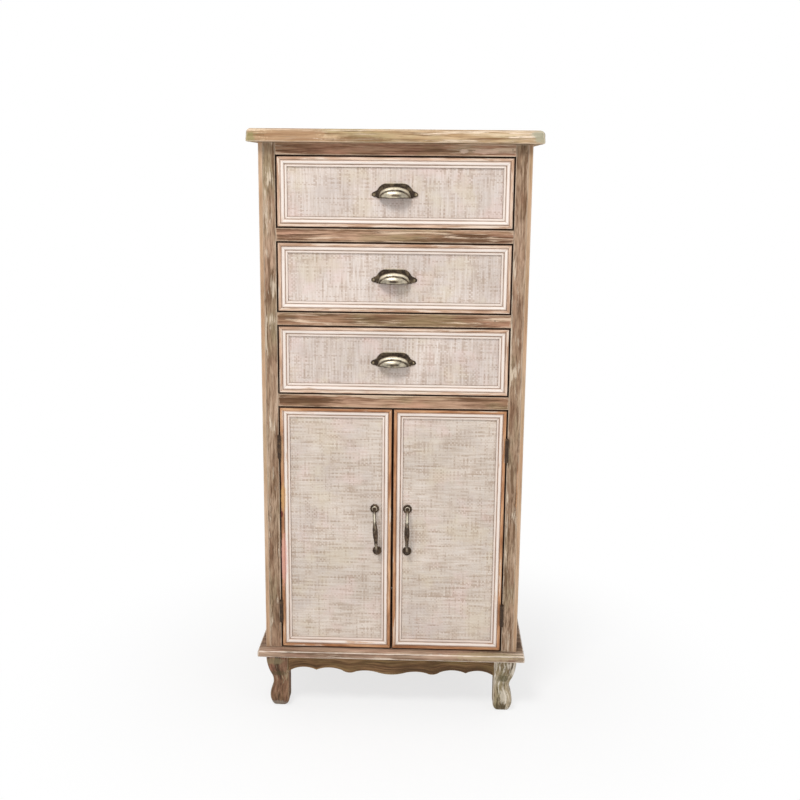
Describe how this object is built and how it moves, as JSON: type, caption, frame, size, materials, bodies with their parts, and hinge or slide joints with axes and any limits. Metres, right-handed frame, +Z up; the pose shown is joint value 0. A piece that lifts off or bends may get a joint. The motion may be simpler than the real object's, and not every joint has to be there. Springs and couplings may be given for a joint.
{
  "type": "sideboard cabinet",
  "caption": "Tall free-standing wooden cabinet with sliding drawers over a pair of hinged doors, woven-faced panels, cup and bow pulls, and short cabriole legs.",
  "frame": {"origin": "on the floor under the middle of the top panel", "axes": "+X to the right of someone facing the cabinet, +Y to its back, +Z up"},
  "size_m": [0.507, 0.33, 1.0759],
  "materials": {
    "weathered_wood": "matt, rubbed through in streaks",
    "whitewashed_wood": "matt, whitewashed moulding on orange-tan wood",
    "woven_faced_board": "faced with a whitewashed plain weave",
    "plain_wood": "bare, matt",
    "aged_bronze": "dark, rubbed bright",
    "dark_steel": "dark brown, satin",
    "plain_steel": "zinc plated",
    "catch_plastic": "brown, matt"
  },
  "bodies": {
    "carcass": {"top_panel": "weathered_wood", "base_panel": "weathered_wood", "side_panel_left": "weathered_wood", "side_panel_right": "weathered_wood", "post_front_left": "weathered_wood", "post_front_right": "weathered_wood", "post_back_left": "plain_wood", "post_back_right": "plain_wood", "back_panel": "plain_wood", "rail_lower": "weathered_wood", "rail_middle": "weathered_wood", "rail_upper": "weathered_wood", "rail_top": "weathered_wood", "drawer_runners": "plain_wood", "drawer_guides": "plain_wood", "shelf": "plain_wood", "shelf_cleats": "plain_wood", "leg_front_left": "weathered_wood", "leg_front_right": "weathered_wood", "leg_back_left": "weathered_wood", "leg_back_right": "weathered_wood", "apron_front": "weathered_wood", "apron_left": "weathered_wood", "apron_right": "weathered_wood", "magnet_catches": "catch_plastic", "hinge_leaves_fixed": "dark_steel", "hinge_pins": "dark_steel"},
    "drawer_top": {"drawer_top_frame": "whitewashed_wood", "drawer_top_panel": "woven_faced_board", "drawer_top_pull": "aged_bronze", "drawer_top_pull_screws": "aged_bronze", "drawer_top_sides": "plain_wood", "drawer_top_back": "plain_wood", "drawer_top_bottom": "plain_wood"},
    "drawer_middle": {"drawer_middle_frame": "whitewashed_wood", "drawer_middle_panel": "woven_faced_board", "drawer_middle_pull": "aged_bronze", "drawer_middle_pull_screws": "aged_bronze", "drawer_middle_sides": "plain_wood", "drawer_middle_back": "plain_wood", "drawer_middle_bottom": "plain_wood"},
    "drawer_bottom": {"drawer_bottom_frame": "whitewashed_wood", "drawer_bottom_panel": "woven_faced_board", "drawer_bottom_pull": "aged_bronze", "drawer_bottom_pull_screws": "aged_bronze", "drawer_bottom_sides": "plain_wood", "drawer_bottom_back": "plain_wood", "drawer_bottom_bottom": "plain_wood"},
    "door_left": {"door_left_frame": "whitewashed_wood", "door_left_panel": "woven_faced_board", "door_left_pull": "aged_bronze", "door_left_pull_bolts": "plain_steel", "door_left_strike": "plain_steel", "door_left_hinge_leaves": "dark_steel"},
    "door_right": {"door_right_frame": "whitewashed_wood", "door_right_panel": "woven_faced_board", "door_right_pull": "aged_bronze", "door_right_pull_bolts": "plain_steel", "door_right_strike": "plain_steel", "door_right_hinge_leaves": "dark_steel"}
  },
  "joints": [
    {"name": "drawer_top_slide", "type": "slide", "parent": "carcass", "child": "drawer_top", "axis": [0, -1, 0], "range_m": [0, 0.22]},
    {"name": "drawer_middle_slide", "type": "slide", "parent": "carcass", "child": "drawer_middle", "axis": [0, -1, 0], "range_m": [0, 0.22]},
    {"name": "drawer_bottom_slide", "type": "slide", "parent": "carcass", "child": "drawer_bottom", "axis": [0, -1, 0], "range_m": [0, 0.22]},
    {"name": "door_left_hinge", "type": "hinge", "parent": "carcass", "child": "door_left", "pos_m": [-0.2055, -0.1484, 0.358], "axis": [0, 0, -1], "range_deg": [0, 110]},
    {"name": "door_right_hinge", "type": "hinge", "parent": "carcass", "child": "door_right", "pos_m": [0.2055, -0.1484, 0.358], "axis": [0, 0, 1], "range_deg": [0, 110]}
  ]
}
